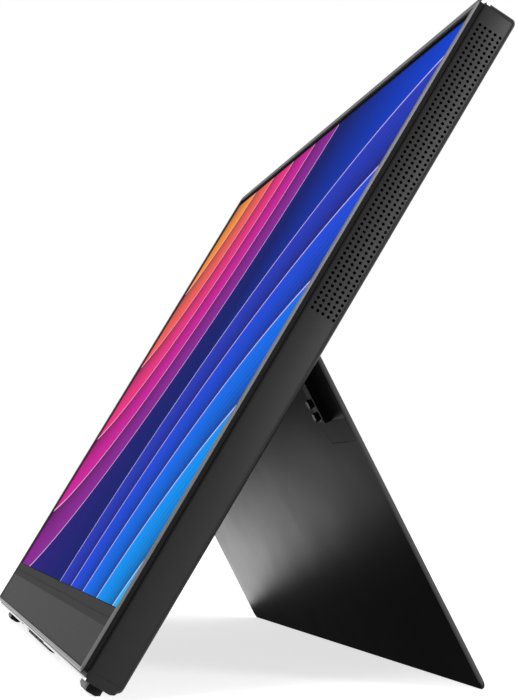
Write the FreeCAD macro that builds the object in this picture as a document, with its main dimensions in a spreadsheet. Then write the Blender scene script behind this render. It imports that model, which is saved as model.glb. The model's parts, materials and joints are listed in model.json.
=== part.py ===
"""Portable monitor that leans on a wide fold-out stand.

Every piece is drawn in the panel's own frame: x to the right as seen from the front, y up the panel and
z out of the screen, with z = 0 on the front rim and y = 0 on the bottom edge. One placement then leans the
panel back, and a second one swings the stand open until its lower edge is on the table.
"""

import FreeCAD, Part
import math
import os
from types import SimpleNamespace

import Sketcher

SIZES = {
    # panel outside
    "width": 325.0,
    "height": 205.0,
    "depth": 12.0,
    "corner_radius": 2.0,
    "tilt": 58.7,
    # front rim and the groove behind it
    "lip_width": 3.0,
    "lip_bottom": 1.3,
    "lip_thickness": 0.7,
    "lip_chamfer": 0.6,
    "groove_height": 1.2,
    "groove_depth": 0.8,
    "skirt_wall": 1.0,
    "skirt_depth": 4.4,
    "fit_gap": 0.1,
    "seam": 0.05,
    # chin below the screen
    "chin_top": 15.0,
    "strip_top": 18.0,
    "chin_gap": 0.2,
    "shelf_thickness": 0.8,
    "chin_plate_thickness": 0.4,
    "chin_strip_thickness": 0.3,
    # screen stack
    "glass_thickness": 0.8,
    "active_width": 317.5,
    "active_height": 178.6,
    "active_bottom": 18.2,
    "cell_border_side": 0.8,
    "cell_border_top": 3.6,
    "cell_border_bottom": 8.0,
    "cell_thickness": 1.2,
    "backlight_thickness": 2.3,
    "chassis_thickness": 0.7,
    "chassis_margin": 4.0,
    "chassis_bottom": 11.4,
    # rear shell
    "wall": 1.4,
    "back_wall": 1.2,
    "rear_round": 1.4,
    "front_chamfer": 0.5,
    "nail_chamfer": 0.8,
    "boss_radius": 2.2,
    "boss_hole_radius": 0.75,
    "boss_column": 90.0,
    "boss_top_row": 192.0,
    "boss_middle_row": 128.0,
    "boss_bottom_row": 26.0,
    # side grille
    "grille_rows": 60,
    "grille_columns": 5,
    "grille_pitch": 1.51,
    "grille_column_pitch": 1.63,
    "grille_hole": 0.9,
    "grille_top": 197.9,
    "grille_depth": 6.83,
    "grille_margin": 0.65,
    # stand and its recess
    "stand_right": 157.0,
    "stand_left": 135.0,
    "stand_length": 99.2,
    "stand_thickness": 1.3,
    "stand_top_gap": 0.7,
    "stand_corner": 3.0,
    "stand_edge_chamfer": 0.4,
    "stand_gap": 0.5,
    "recess_gap": 0.3,
    "recess_top_gap": 0.4,
    # hinge
    "hinge_height": 99.7,
    "axis_depth": 2.0,
    "pin_radius": 1.0,
    "pin_head_radius": 1.5,
    "pin_head": 0.5,
    "pin_gap": 0.03,
    "knuckle_radius": 1.8,
    "knuckle_gap": 0.3,
    "hinge_inset": 2.0,
    "hinge_width": 28.0,
    "ear_thickness": 2.3,
    "ear_inset": 2.5,
    "ear_reach": 10.0,
    "ear_shoulder": 1.2,
    "bracket_height": 18.0,
    "bracket_thickness": 0.8,
    "leaf_height": 19.5,
    "leaf_rib_height": 1.8,
    "leaf_rib_thickness": 1.0,
    "leaf_rib_start": 5.0,
    "leaf_rib_inset": 12.0,
    "pocket_depth": 0.7,
    "pocket_height": 26.0,
    "pocket_corner": 3.0,
    "window_margin": 1.5,
    # fasteners
    "screw_head_radius": 1.5,
    "screw_head": 0.6,
    "screw_shank_radius": 0.7,
    "screw_shank": 2.6,
    "screw_gap": 0.1,
    "rivet_inset": 2.5,
    "rivet_head": 1.3,
    "rivet_head_radius": 1.3,
    # feet
    "foot_width": 13.0,
    "foot_inset": 17.0,
    "foot_front": 5.6,
    "foot_rear": 10.2,
    "foot_height": 3.7,
    "foot_chamfer": 0.9,
    "foot_rest": 1.3,
    "foot_seat": 0.5,
    # keys in the bottom edge
    "key_count": 5,
    "key_pitch": 17.2,
    "key_width": 13.0,
    "key_depth": 2.0,
    "key_proud": 2.4,
    "key_gap": 0.2,
    "key_flange": 0.5,
    "key_travel": 0.4,
    "bezel_width": 88.0,
    "bezel_depth": 3.2,
    "bezel_front": 4.9,
    "bezel_proud": 1.6,
    "bezel_flange": 0.4,
    "key_board_thickness": 1.0,
    "key_dome": 0.5,
    "key_dome_radius": 1.2,
    # sockets in the left wall
    "socket_depth": 7.4,
    "socket_long": 8.9,
    "socket_short": 3.2,
    "socket_wall": 0.35,
    "socket_cavity": 6.2,
    "socket_tongue": 0.7,
    "socket_tongue_set_back": 1.2,
    "socket_inset": 0.2,
    "data_socket_corner": 1.0,
    "data_socket_height": 34.0,
    "socket_pitch": 15.0,
    "video_socket_long": 10.6,
    "video_socket_corner": 0.6,
    # boards and speaker
    "board_thickness": 1.2,
    "board_width": 92.0,
    "board_bottom": 24.0,
    "board_top": 72.0,
    "chip_side": 14.0,
    "chip_thickness": 0.9,
    "speaker_width": 14.0,
    "speaker_bottom": 128.0,
    "speaker_top": 190.0,
    "speaker_lip": 2.0,
    "speaker_cone_depth": 1.2,
}

doc = FreeCAD.newDocument("portable_monitor")
sheet = doc.addObject("Spreadsheet::Sheet", "dims")
for row, (alias, number) in enumerate(SIZES.items(), 1):
    sheet.set(f"A{row}", alias)
    sheet.set(f"B{row}", str(number))
    sheet.setAlias(f"B{row}", alias)
doc.recompute()


class Size:
    """A size that carries its number together with the sheet formula that it comes from."""

    def __init__(self, value, text):
        self.value = value
        self.text = text

    def join(self, sign, other, value):
        return Size(value, f"({self.text} {sign} {size(other).text})")

    def __add__(self, other):
        return self.join("+", other, self.value + size(other).value)

    def __sub__(self, other):
        return self.join("-", other, self.value - size(other).value)

    def __mul__(self, other):
        return self.join("*", other, self.value * size(other).value)

    def __truediv__(self, other):
        return self.join("/", other, self.value / size(other).value)

    def __neg__(self):
        return Size(-self.value, f"(-1 * {self.text})")

    def __radd__(self, other):
        return size(other) + self

    def __rsub__(self, other):
        return size(other) - self

    def __rmul__(self, other):
        return size(other) * self


def size(number):
    return number if isinstance(number, Size) else Size(float(number), f"{float(number)}")


D = SimpleNamespace(**{alias: Size(float(getattr(sheet, alias)), f"dims.{alias}") for alias in SIZES})
ZERO = size(0)

# Small hidden round pieces and their holes have this many sides, and so do the grille's many holes
RING_SIDES = 6
GRILLE_SIDES = 5

# Edges this close to a level count as lying on it
NEAR = 1e-4

# Levels through the depth, all measured along z from the front rim
HALF = D.width / 2
SHELF = -D.lip_thickness
SHELL_FRONT = -(D.lip_thickness + D.groove_height)
CELL_FRONT = SHELF - D.glass_thickness
BACKLIGHT_FRONT = CELL_FRONT - D.cell_thickness
CHASSIS_FRONT = BACKLIGHT_FRONT - D.backlight_thickness
CHASSIS_BACK = CHASSIS_FRONT - D.chassis_thickness
BACK = -D.depth
BACK_INSIDE = BACK + D.back_wall
RECESS = BACK + D.stand_thickness + D.recess_gap
RECESS_INSIDE = RECESS + D.back_wall
STAND_INSIDE = BACK + D.stand_thickness
AXIS = BACK + D.axis_depth
POCKET = STAND_INSIDE - D.pocket_depth

# Insets from the outside towards the middle
SKIRT_OUT = D.wall + D.fit_gap
SKIRT_IN = SKIRT_OUT + D.skirt_wall

# Heights up the panel
RECESS_TOP = D.hinge_height + D.axis_depth + D.recess_top_gap
STEP_TOP = RECESS_TOP + D.back_wall

# Ends of the stand's recess along x
RECESS_LEFT = -D.stand_left - D.stand_gap
RECESS_RIGHT = D.stand_right + D.stand_gap

# Where the stand ends on each side of the middle: on the left it stops short of the sockets
STAND_END = {1: D.stand_right, -1: D.stand_left}


def new_body(label):
    body = doc.addObject("PartDesign::Body", label)
    body.Label = label
    return body


def new_sketch(body, plane, offset=ZERO):
    """A sketch on one of the body's own origin planes, moved along that plane's normal by offset."""
    sketch = body.newObject("Sketcher::SketchObject", "Sketch")
    feature = next(f for f in body.Origin.OriginFeatures if f.Role == plane)
    sketch.AttachmentSupport = [(feature, "")]
    sketch.MapMode = "FlatFace"
    sketch.AttachmentOffset = FreeCAD.Placement(FreeCAD.Vector(0, 0, offset.value), FreeCAD.Rotation())
    sketch.setExpression("AttachmentOffset.Base.z", offset.text)
    return sketch


def bind(sketch, kind, *where):
    """Adds a dimension, the last item of where, and ties it to its formula."""
    *places, length = where
    length = size(length)
    index = sketch.addConstraint(Sketcher.Constraint(kind, *places, length.value))
    sketch.setExpression(f"Constraints[{index}]", length.text)


def draw_polygon(sketch, points):
    points = [(size(x), size(y)) for x, y in points]
    first = sketch.GeometryCount
    corners = [FreeCAD.Vector(x.value, y.value, 0) for x, y in points]
    count = len(corners)
    for i in range(count):
        sketch.addGeometry(Part.LineSegment(corners[i], corners[(i + 1) % count]), False)
    for i in range(count):
        sketch.addConstraint(Sketcher.Constraint("Coincident", first + i, 2, first + (i + 1) % count, 1))
    for i, (x, y) in enumerate(points):
        bind(sketch, "DistanceX", -1, 1, first + i, 1, x)
        bind(sketch, "DistanceY", -1, 1, first + i, 1, y)


def draw_rectangle(sketch, x0, x1, y0, y1):
    draw_polygon(sketch, [(x0, y0), (x1, y0), (x1, y1), (x0, y1)])


def draw_circle(sketch, x, y, radius):
    x, y, radius = size(x), size(y), size(radius)
    centre = FreeCAD.Vector(x.value, y.value, 0)
    index = sketch.addGeometry(Part.Circle(centre, FreeCAD.Vector(0, 0, 1), radius.value), False)
    bind(sketch, "DistanceX", -1, 1, index, 3, x)
    bind(sketch, "DistanceY", -1, 1, index, 3, y)
    bind(sketch, "Radius", index, radius)


def draw_ring(sketch, x, y, radius):
    """A small round outline as a regular polygon, with corners on the given radius."""
    corners = [math.radians(360 * (k + 0.5) / RING_SIDES) for k in range(RING_SIDES)]
    draw_polygon(sketch, [(x + radius * math.cos(a), y + radius * math.sin(a)) for a in corners])


def draw_cut_corners(sketch, x0, x1, y0, y1, corner):
    """A rectangle whose four corners are cut at a slant."""
    points = [(x0 + corner, y0), (x1 - corner, y0), (x1, y0 + corner), (x1, y1 - corner)]
    points += [(x1 - corner, y1), (x0 + corner, y1), (x0, y1 - corner), (x0, y0 + corner)]
    draw_polygon(sketch, points)


def draw_rounded(sketch, x0, x1, y0, y1, radius):
    """A rectangle with four equal arcs at its corners."""
    x0, x1, y0, y1, radius = (size(v) for v in (x0, x1, y0, y1, radius))
    left, right, low, high, r = x0.value, x1.value, y0.value, y1.value, radius.value
    first = sketch.GeometryCount
    spot = lambda x, y: FreeCAD.Vector(x, y, 0)
    axis = FreeCAD.Vector(0, 0, 1)
    sides = [
        (spot(left + r, low), spot(right - r, low)),
        (spot(right, low + r), spot(right, high - r)),
        (spot(right - r, high), spot(left + r, high)),
        (spot(left, high - r), spot(left, low + r)),
    ]
    centres = [spot(right - r, low + r), spot(right - r, high - r)]
    centres += [spot(left + r, high - r), spot(left + r, low + r)]
    for i in range(4):
        start = math.radians(-90 + 90 * i)
        sketch.addGeometry(Part.LineSegment(*sides[i]), False)
        arc = Part.ArcOfCircle(Part.Circle(centres[i], axis, r), start, start + math.pi / 2)
        sketch.addGeometry(arc, False)
    for i in range(4):
        line, arc, following = first + 2 * i, first + 2 * i + 1, first + (2 * i + 2) % 8
        sketch.addConstraint(Sketcher.Constraint("Tangent", line, 2, arc, 1))
        sketch.addConstraint(Sketcher.Constraint("Tangent", arc, 2, following, 1))
        sketch.addConstraint(Sketcher.Constraint("Horizontal" if i % 2 == 0 else "Vertical", line))
        bind(sketch, "Radius", arc, radius)
    bind(sketch, "DistanceY", -1, 1, first, 1, y0)
    bind(sketch, "DistanceX", -1, 1, first + 2, 1, x1)
    bind(sketch, "DistanceY", -1, 1, first + 4, 1, y1)
    bind(sketch, "DistanceX", -1, 1, first + 6, 1, x0)


def pad(body, sketch, length, backwards=False):
    """Grows the sketch along its plane's normal, or against it."""
    doc.recompute()
    feature = body.newObject("PartDesign::Pad", "Pad")
    feature.Profile = sketch
    feature.Length = length.value
    feature.setExpression("Length", length.text)
    feature.Reversed = backwards
    doc.recompute()
    return feature


def cut(body, sketch, depth, forwards=False):
    """Cuts the sketch against its plane's normal, or along it, and makes sure that something was removed."""
    doc.recompute()
    before = body.Tip.Shape.Volume
    feature = body.newObject("PartDesign::Pocket", "Pocket")
    feature.Profile = sketch
    feature.Length = depth.value
    feature.setExpression("Length", depth.text)
    feature.Reversed = forwards
    doc.recompute()
    if not feature.Shape.Volume < before:
        raise RuntimeError(f"a cut in {body.Label} removes nothing")
    return feature


def dress(body, kind, amount, wanted):
    """Rounds or chamfers the edges of the body's last feature for which wanted(edge) is true."""
    doc.recompute()
    base = body.Tip
    names = [f"Edge{i}" for i, edge in enumerate(base.Shape.Edges, 1) if wanted(edge)]
    if not names:
        raise RuntimeError(f"no edge to dress in {body.Label}")
    feature = body.newObject(f"PartDesign::{kind}", kind)
    feature.Base = (base, names)
    prop = "Radius" if kind == "Fillet" else "Size"
    setattr(feature, prop, amount.value)
    feature.setExpression(prop, amount.text)
    doc.recompute()
    return feature


def at(edge, axis, level):
    """True where the whole edge lies at one level along x, y or z."""
    box = edge.BoundBox
    low = {"x": box.XMin, "y": box.YMin, "z": box.ZMin}[axis]
    high = {"x": box.XMax, "y": box.YMax, "z": box.ZMax}[axis]
    return max(abs(low - size(level).value), abs(high - size(level).value)) < NEAR


def slab(label, x0, x1, y0, y1, front, back):
    """A plain flat piece between two levels of z."""
    body = new_body(label)
    sketch = new_sketch(body, "XY_Plane", front)
    draw_rectangle(sketch, x0, x1, y0, y1)
    pad(body, sketch, front - back, backwards=True)
    return body


def span(side, inner, outer):
    """The lower and upper end along x of a stretch that lies inner to outer from the middle on one side."""
    return (inner, outer) if side > 0 else (-outer, -inner)


def hinge_ends(side):
    """Inner and outer end of a hinge, counted outwards from the middle of the panel."""
    outer = STAND_END[side] - D.hinge_inset
    return outer - D.hinge_width, outer


def outline(sketch, inset, radius):
    draw_rounded(sketch, -HALF + inset, HALF - inset, inset, D.height - inset, radius)


def inner_outline(sketch):
    draw_rectangle(sketch, -HALF + SKIRT_IN, HALF - SKIRT_IN, SKIRT_IN, D.height - SKIRT_IN)


def front_frame():
    body = new_body("front_frame")
    lip = new_sketch(body, "XY_Plane")
    outline(lip, ZERO, D.corner_radius)
    draw_rectangle(lip, -HALF + D.lip_width, HALF - D.lip_width, D.lip_bottom, D.height - D.lip_width)
    pad(body, lip, D.lip_thickness, backwards=True)
    dress(body, "Chamfer", D.lip_chamfer, lambda e: at(e, "z", ZERO) and on_outside(e))
    neck = new_sketch(body, "XY_Plane", SHELF)
    outline(neck, D.groove_depth, D.corner_radius - D.groove_depth)
    inner_outline(neck)
    pad(body, neck, D.groove_height, backwards=True)
    skirt = new_sketch(body, "XY_Plane", SHELF)
    outline(skirt, SKIRT_OUT, D.corner_radius - D.wall)
    inner_outline(skirt)
    pad(body, skirt, D.skirt_depth - D.lip_thickness, backwards=True)
    shelf = new_sketch(body, "XY_Plane", SHELF)
    draw_rectangle(shelf, -HALF + SKIRT_OUT, HALF - SKIRT_OUT, SKIRT_OUT, D.strip_top)
    pad(body, shelf, D.shelf_thickness, backwards=True)
    return body


def on_outside(edge):
    """True for an edge on the panel's outer outline, seen from the front."""
    box = edge.BoundBox
    reach = D.corner_radius.value + NEAR
    beside = min(box.XMin + HALF.value, HALF.value - box.XMax)
    above = min(box.YMin, D.height.value - box.YMax)
    at_side = beside < NEAR and box.XLength < reach
    at_end = above < NEAR and box.YLength < reach
    return at_side or at_end


def screen_pieces():
    inner = HALF - D.lip_width - D.chin_gap
    cell = D.active_width / 2 + D.cell_border_side
    cell_low = D.active_bottom - D.cell_border_bottom
    cell_high = D.active_bottom + D.active_height + D.cell_border_top
    glass = HALF - SKIRT_IN - D.fit_gap
    glass_high = D.height - SKIRT_IN - D.fit_gap
    plate_low = D.lip_bottom + D.chin_gap
    plate_front = SHELF + D.chin_plate_thickness
    strip_front = SHELF + D.chin_strip_thickness
    return [
        slab("chin_plate", -inner, inner, plate_low, D.chin_top, plate_front, SHELF),
        slab("chin_strip", -inner, inner, D.chin_top + D.seam, D.strip_top, strip_front, SHELF),
        slab("cover_glass", -glass, glass, D.strip_top + D.fit_gap, glass_high, SHELF, CELL_FRONT),
        slab("lcd_panel", -cell, cell, cell_low, cell_high, CELL_FRONT, BACKLIGHT_FRONT),
        slab("backlight_tray", -cell, cell, cell_low, cell_high, BACKLIGHT_FRONT, CHASSIS_FRONT),
    ]


def upper_bosses():
    """Screw posts above the stand's recess."""
    rows = (D.boss_top_row, D.boss_middle_row)
    return [(side * D.boss_column, row) for row in rows for side in (-1, 1)]


def lower_bosses():
    """Screw posts behind the stand's recess, clear of the main board on the left."""
    return [(ZERO, D.boss_bottom_row), (D.boss_column, D.boss_bottom_row)]


def boss_places():
    """Where the chassis is screwed to the rear shell."""
    return upper_bosses() + lower_bosses()


def bracket_screw_places(side):
    """Three screws in a row along the upper edge of a hinge bracket's base."""
    inner, outer = hinge_ends(side)
    middle = (inner + outer) / 2
    step = D.hinge_width / 2 - D.screw_head_radius * 2
    height = D.hinge_height + D.bracket_height - D.screw_head_radius * 2
    return [(side * (middle + step * k), height) for k in (-1, 0, 1)]


def chassis_plate():
    reach = HALF - SKIRT_IN - D.chassis_margin
    top = D.height - SKIRT_IN - D.chassis_margin
    body = slab("chassis_plate", -reach, reach, D.chassis_bottom, top, CHASSIS_FRONT, CHASSIS_BACK)
    holes = new_sketch(body, "XY_Plane", CHASSIS_FRONT)
    for x, y in boss_places():
        draw_ring(holes, x, y, D.screw_head_radius + D.screw_gap)
    for side in (-1, 1):
        for x, y in bracket_screw_places(side):
            draw_ring(holes, x, y, D.screw_shank_radius + D.screw_gap)
    cut(body, holes, D.chassis_thickness)
    return body


def rear_cover():
    body = new_body("rear_cover")
    block = new_sketch(body, "XY_Plane", SHELL_FRONT)
    outline(block, ZERO, D.corner_radius)
    pad(body, block, SHELL_FRONT - BACK, backwards=True)
    dress(body, "Fillet", D.rear_round, lambda e: at(e, "z", BACK))
    dress(body, "Chamfer", D.front_chamfer, lambda e: at(e, "z", SHELL_FRONT))

    inside = new_sketch(body, "XY_Plane", SHELL_FRONT)
    outline(inside, D.wall, D.corner_radius - D.wall)
    cut(body, inside, SHELL_FRONT - RECESS_INSIDE)
    upper = new_sketch(body, "XY_Plane", RECESS_INSIDE)
    draw_rectangle(upper, -HALF + D.wall, HALF - D.wall, STEP_TOP, D.height - D.wall)
    cut(body, upper, RECESS_INSIDE - BACK_INSIDE)
    beside = new_sketch(body, "XY_Plane", RECESS_INSIDE)
    draw_rectangle(beside, -HALF + D.wall, RECESS_LEFT - D.back_wall, D.wall, STEP_TOP)
    cut(body, beside, RECESS_INSIDE - BACK_INSIDE)

    recess = new_sketch(body, "XY_Plane", BACK)
    draw_rectangle(recess, RECESS_LEFT, RECESS_RIGHT, -D.wall, RECESS_TOP)
    cut(body, recess, RECESS - BACK, forwards=True)
    dress(body, "Chamfer", D.nail_chamfer, lambda e: at(e, "z", RECESS) and at(e, "y", ZERO))

    windows = new_sketch(body, "XY_Plane", RECESS)
    for side in (-1, 1):
        inner, outer = hinge_ends(side)
        x0, x1 = span(side, inner - D.window_margin, outer + D.window_margin)
        draw_rectangle(windows, x0, x1, D.hinge_height - D.pocket_height, RECESS_TOP)
    cut(body, windows, D.back_wall, forwards=True)

    grille_slot(body)
    socket_slots(body)
    bottom_edge_seats(body)
    shell_bosses(body)
    return body


def grille_box():
    """The perforated strip's lower and upper corner in height and depth."""
    length = (D.grille_rows - 1) * D.grille_pitch
    across = (D.grille_columns - 1) * D.grille_column_pitch
    low = D.grille_top - length - D.grille_margin
    back = -D.grille_depth - across / 2 - D.grille_margin
    front = -D.grille_depth + across / 2 + D.grille_margin
    return low, D.grille_top + D.grille_margin, back, front


def grille_slot(body):
    low, high, back, front = grille_box()
    slot = new_sketch(body, "YZ_Plane", HALF - D.wall)
    draw_rectangle(slot, low, high, back, front)
    cut(body, slot, D.wall, forwards=True)


def side_grille():
    low, high, back, front = grille_box()
    body = new_body("side_grille")
    strip = new_sketch(body, "YZ_Plane", HALF - D.wall)
    draw_rectangle(strip, low, high, back, front)
    pad(body, strip, D.wall)
    hole = new_sketch(body, "YZ_Plane", HALF - D.wall)
    centre_y = low + D.grille_margin
    centre_z = back + D.grille_margin
    corners = [math.radians(360 * k / GRILLE_SIDES) for k in range(GRILLE_SIDES)]
    radius = D.grille_hole / 2
    draw_polygon(hole, [(centre_y + radius * math.cos(a), centre_z + radius * math.sin(a)) for a in corners])
    first = cut(body, hole, D.wall, forwards=True)
    rows = body.newObject("PartDesign::LinearPattern", "Rows")
    rows.Originals = [first]
    rows.Direction = (hole, ["H_Axis"])
    rows.Direction2 = (hole, ["V_Axis"])
    length = (D.grille_rows - 1) * D.grille_pitch
    across = (D.grille_columns - 1) * D.grille_column_pitch
    rows.Length = length.value
    rows.Length2 = across.value
    rows.setExpression("Length", length.text)
    rows.setExpression("Length2", across.text)
    rows.setExpression("Occurrences", D.grille_rows.text)
    rows.setExpression("Occurrences2", D.grille_columns.text)
    body.Tip = rows
    doc.recompute()
    return body


def socket_centre():
    """Depth of the sockets: halfway between the chassis and the floor of the recess."""
    return (CHASSIS_BACK + RECESS_INSIDE) / 2


def socket_places():
    """Name, height up the panel, length and corner cut of each socket in the left wall."""
    first = D.data_socket_height
    return [
        ("data_port_lower", first, D.socket_long, D.data_socket_corner),
        ("data_port_upper", first + D.socket_pitch, D.socket_long, D.data_socket_corner),
        ("video_port", first + D.socket_pitch * 2, D.video_socket_long, D.video_socket_corner),
    ]


def draw_socket(sketch, height, length, corner, grow):
    middle = socket_centre()
    long_half = length / 2 + grow
    short_half = D.socket_short / 2 + grow
    ends = (height - long_half, height + long_half, middle - short_half, middle + short_half)
    draw_cut_corners(sketch, *ends, corner)


def socket_slots(body):
    for _, height, length, corner in socket_places():
        slot = new_sketch(body, "YZ_Plane", -HALF)
        draw_socket(slot, height, length, corner, D.fit_gap)
        cut(body, slot, D.wall, forwards=True)


def sockets():
    made = []
    mouth = -HALF + D.socket_inset
    for name, height, length, corner in socket_places():
        body = new_body(name)
        shell = new_sketch(body, "YZ_Plane", mouth)
        draw_socket(shell, height, length, corner, ZERO)
        pad(body, shell, D.socket_depth)
        cavity = new_sketch(body, "YZ_Plane", mouth)
        draw_socket(cavity, height, length, corner, -D.socket_wall)
        cut(body, cavity, D.socket_cavity, forwards=True)
        tongue = new_sketch(body, "YZ_Plane", mouth + D.socket_tongue_set_back)
        half = length / 2 - D.socket_short / 2
        middle = socket_centre()
        thick = D.socket_tongue / 2
        draw_rectangle(tongue, height - half, height + half, middle - thick, middle + thick)
        pad(body, tongue, D.socket_depth - D.socket_tongue_set_back)
        made.append(body)
    return made


def foot_span(side):
    return span(side, HALF - D.foot_inset - D.foot_width, HALF - D.foot_inset)


def bezel_middle():
    return -D.bezel_front - D.bezel_depth / 2


def bottom_edge_seats(body):
    """Shallow seats for the feet and a slot for the key strip in the bottom wall."""
    seats = new_sketch(body, "XZ_Plane")
    for side in (-1, 1):
        draw_rectangle(seats, *foot_span(side), -D.foot_rear, -D.foot_front)
    cut(body, seats, D.foot_seat)
    slot = new_sketch(body, "XZ_Plane")
    half = D.bezel_width / 2
    draw_rectangle(slot, -half, half, -D.bezel_front - D.bezel_depth, -D.bezel_front)
    cut(body, slot, D.wall)


def shell_bosses(body):
    """Screw posts for the chassis, and two ledges under the main board."""
    for places, floor in ((upper_bosses(), BACK_INSIDE), (lower_bosses(), RECESS_INSIDE)):
        posts = new_sketch(body, "XY_Plane", CHASSIS_BACK)
        for x, y in places:
            draw_ring(posts, x, y, D.boss_radius)
        pad(body, posts, CHASSIS_BACK - floor, backwards=True)
    holes = new_sketch(body, "XY_Plane", CHASSIS_BACK)
    for x, y in boss_places():
        draw_ring(holes, x, y, D.boss_hole_radius)
    cut(body, holes, D.screw_shank)
    ledges = new_sketch(body, "XY_Plane", board_back())
    x0 = RECESS_LEFT
    x1 = board_span()[1]
    for y in (D.board_bottom, D.board_top - D.boss_radius):
        draw_rectangle(ledges, x0, x1, y, y + D.boss_radius)
    pad(body, ledges, board_back() - RECESS_INSIDE, backwards=True)


def board_back():
    return socket_centre() - D.board_thickness / 2


def board_span():
    start = -HALF + D.socket_inset + D.socket_depth
    return start, start + D.board_width


def main_board():
    x0, x1 = board_span()
    front = board_back() + D.board_thickness
    body = slab("main_board", x0, x1, D.board_bottom, D.board_top, front, board_back())
    chips = new_sketch(body, "XY_Plane", front)
    middle = (D.board_bottom + D.board_top) / 2
    for k in (1, 3):
        x = x0 + D.board_width * (k / 4)
        half = D.chip_side / 2
        draw_rectangle(chips, x - half, x + half, middle - half, middle + half)
    pad(body, chips, D.chip_thickness)
    return body


def speaker():
    outer = HALF - D.wall - D.fit_gap
    inner = outer - D.speaker_width
    face = CHASSIS_BACK - D.fit_gap
    body = slab("speaker", inner, outer, D.speaker_bottom, D.speaker_top, face, BACK_INSIDE)
    cone = new_sketch(body, "YZ_Plane", outer)
    lip = D.speaker_lip
    front = face - lip / 2
    back = BACK_INSIDE + lip / 2
    radius = (front - back) / 2 - D.seam
    draw_rounded(cone, D.speaker_bottom + lip, D.speaker_top - lip, back, front, radius)
    cut(body, cone, D.speaker_cone_depth)
    return body


def foot(name, side):
    """A rubber foot: its rear lower corner is cut along the table so that the leaning panel stands flat."""
    x0, x1 = foot_span(side)
    body = new_body(name)
    lean = math.radians(D.tilt.value)
    section = new_sketch(body, "YZ_Plane", x0)
    bottom = -D.foot_height
    points = [
        (D.foot_seat, -D.foot_front),
        (bottom + D.foot_chamfer, -D.foot_front),
        (bottom, -D.foot_front - D.foot_chamfer),
        (bottom, -D.foot_rear + D.foot_rest * math.sin(lean)),
        (bottom + D.foot_rest * math.cos(lean), -D.foot_rear),
        (D.foot_seat, -D.foot_rear),
    ]
    draw_polygon(section, points)
    pad(body, section, x1 - x0)
    return body


def key_centres():
    first = (1 - D.key_count) * D.key_pitch / 2
    return [first + D.key_pitch * k for k in range(int(D.key_count.value))]


def key_bezel():
    """The strip around the keys, held from inside by a flange."""
    body = new_body("key_bezel")
    half = D.bezel_width / 2 - D.fit_gap
    deep = D.bezel_depth / 2 - D.fit_gap
    middle = bezel_middle()
    strip = new_sketch(body, "XZ_Plane", D.bezel_proud)
    draw_rectangle(strip, -half, half, middle - deep, middle + deep)
    pad(body, strip, D.bezel_proud + D.wall, backwards=True)
    flange = new_sketch(body, "XZ_Plane", -D.wall)
    grow = D.bezel_flange + D.fit_gap
    draw_rectangle(flange, -half - grow, half + grow, middle - deep - grow, middle + deep + grow)
    pad(body, flange, D.bezel_flange, backwards=True)
    holes = new_sketch(body, "XZ_Plane", -D.wall - D.bezel_flange)
    wide = D.key_width / 2 + D.key_gap
    tall = D.key_depth / 2 + D.key_gap
    for x in key_centres():
        draw_rectangle(holes, x - wide, x + wide, middle - tall, middle + tall)
    cut(body, holes, D.wall + D.bezel_flange + D.bezel_proud, forwards=True)
    return body


def key_inside():
    """Height of the bezel's inner face, where the keys' flanges stop."""
    return D.wall + D.bezel_flange


def key(number, centre):
    body = new_body(f"key_{number}")
    middle = bezel_middle()
    cap = new_sketch(body, "XZ_Plane", D.key_proud)
    wide = D.key_width / 2
    tall = D.key_depth / 2
    draw_rectangle(cap, centre - wide, centre + wide, middle - tall, middle + tall)
    pad(body, cap, D.key_proud + key_inside(), backwards=True)
    dress(body, "Chamfer", D.key_gap, lambda e: at(e, "y", -D.key_proud))
    flange = new_sketch(body, "XZ_Plane", -key_inside())
    wide = wide + D.key_gap * 2
    tall = tall + D.key_gap * 2
    draw_rectangle(flange, centre - wide, centre + wide, middle - tall, middle + tall)
    pad(body, flange, D.key_flange, backwards=True)
    return body


def key_board():
    """The board behind the keys, with one switch dome for each."""
    level = key_inside() + D.key_flange + D.key_travel + D.seam + D.key_dome
    body = new_body("key_board")
    board = new_sketch(body, "XZ_Plane", -level)
    half = D.bezel_width / 2
    draw_rectangle(board, -half, half, RECESS_INSIDE, -D.bezel_front + D.bezel_flange)
    pad(body, board, D.key_board_thickness, backwards=True)
    domes = new_sketch(body, "XZ_Plane", -level)
    for x in key_centres():
        draw_ring(domes, x, bezel_middle(), D.key_dome_radius)
    pad(body, domes, D.key_dome)
    return body


def ear_places(side):
    """Inner end along x of the two ears of a hinge bracket."""
    inner, outer = hinge_ends(side)
    return inner + D.ear_inset, outer - D.ear_inset - D.ear_thickness


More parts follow.
